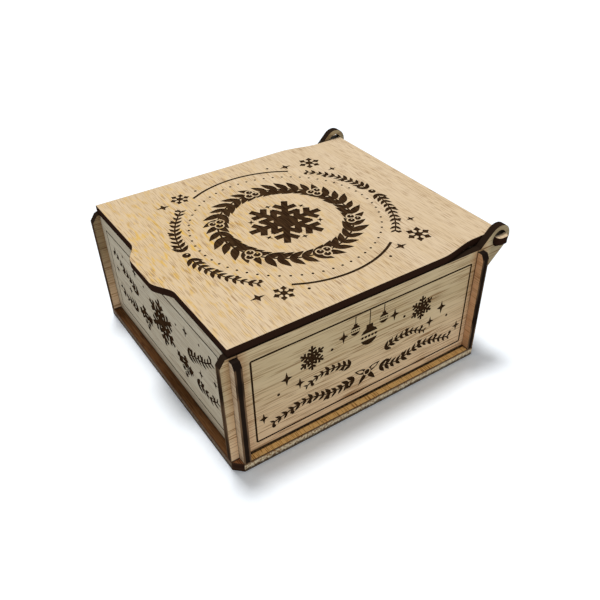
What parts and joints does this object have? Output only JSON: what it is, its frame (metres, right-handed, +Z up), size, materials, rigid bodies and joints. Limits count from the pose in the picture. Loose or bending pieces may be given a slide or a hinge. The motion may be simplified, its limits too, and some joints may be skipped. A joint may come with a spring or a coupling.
{
  "type": "hinged wooden gift box",
  "caption": "Low square gift box of laser-cut plywood panels that interlock at the corners, with a flat lid that turns on its own tabs in two rear hinge ears and has a thumb lip in front.",
  "frame": {"origin": "centre of the base panel's underside, the face that the box stands on", "axes": "+Z up, -Y out of the front under the thumb lip, +Y towards the hinge, +X to the right seen from the front"},
  "size_m": [0.1166, 0.1278, 0.0581],
  "materials": {
    "base_plywood": "raw plywood with sawn edges",
    "wall_plywood": "raw plywood with laser-burnt edges",
    "lid_plywood": "raw plywood with laser-burnt edges"
  },
  "bodies": {
    "box": {"base_panel": "base_plywood", "front_panel": "wall_plywood", "back_panel": "wall_plywood", "left_side_panel": "wall_plywood", "right_side_panel": "wall_plywood"},
    "lid": {"lid_panel": "lid_plywood"}
  },
  "joints": [
    {"name": "lid_hinge", "type": "hinge", "parent": "box", "child": "lid", "pos_m": [0, 0.0627, 0.0526], "axis": [-1, 0, 0], "range_deg": [0, 200]}
  ]
}
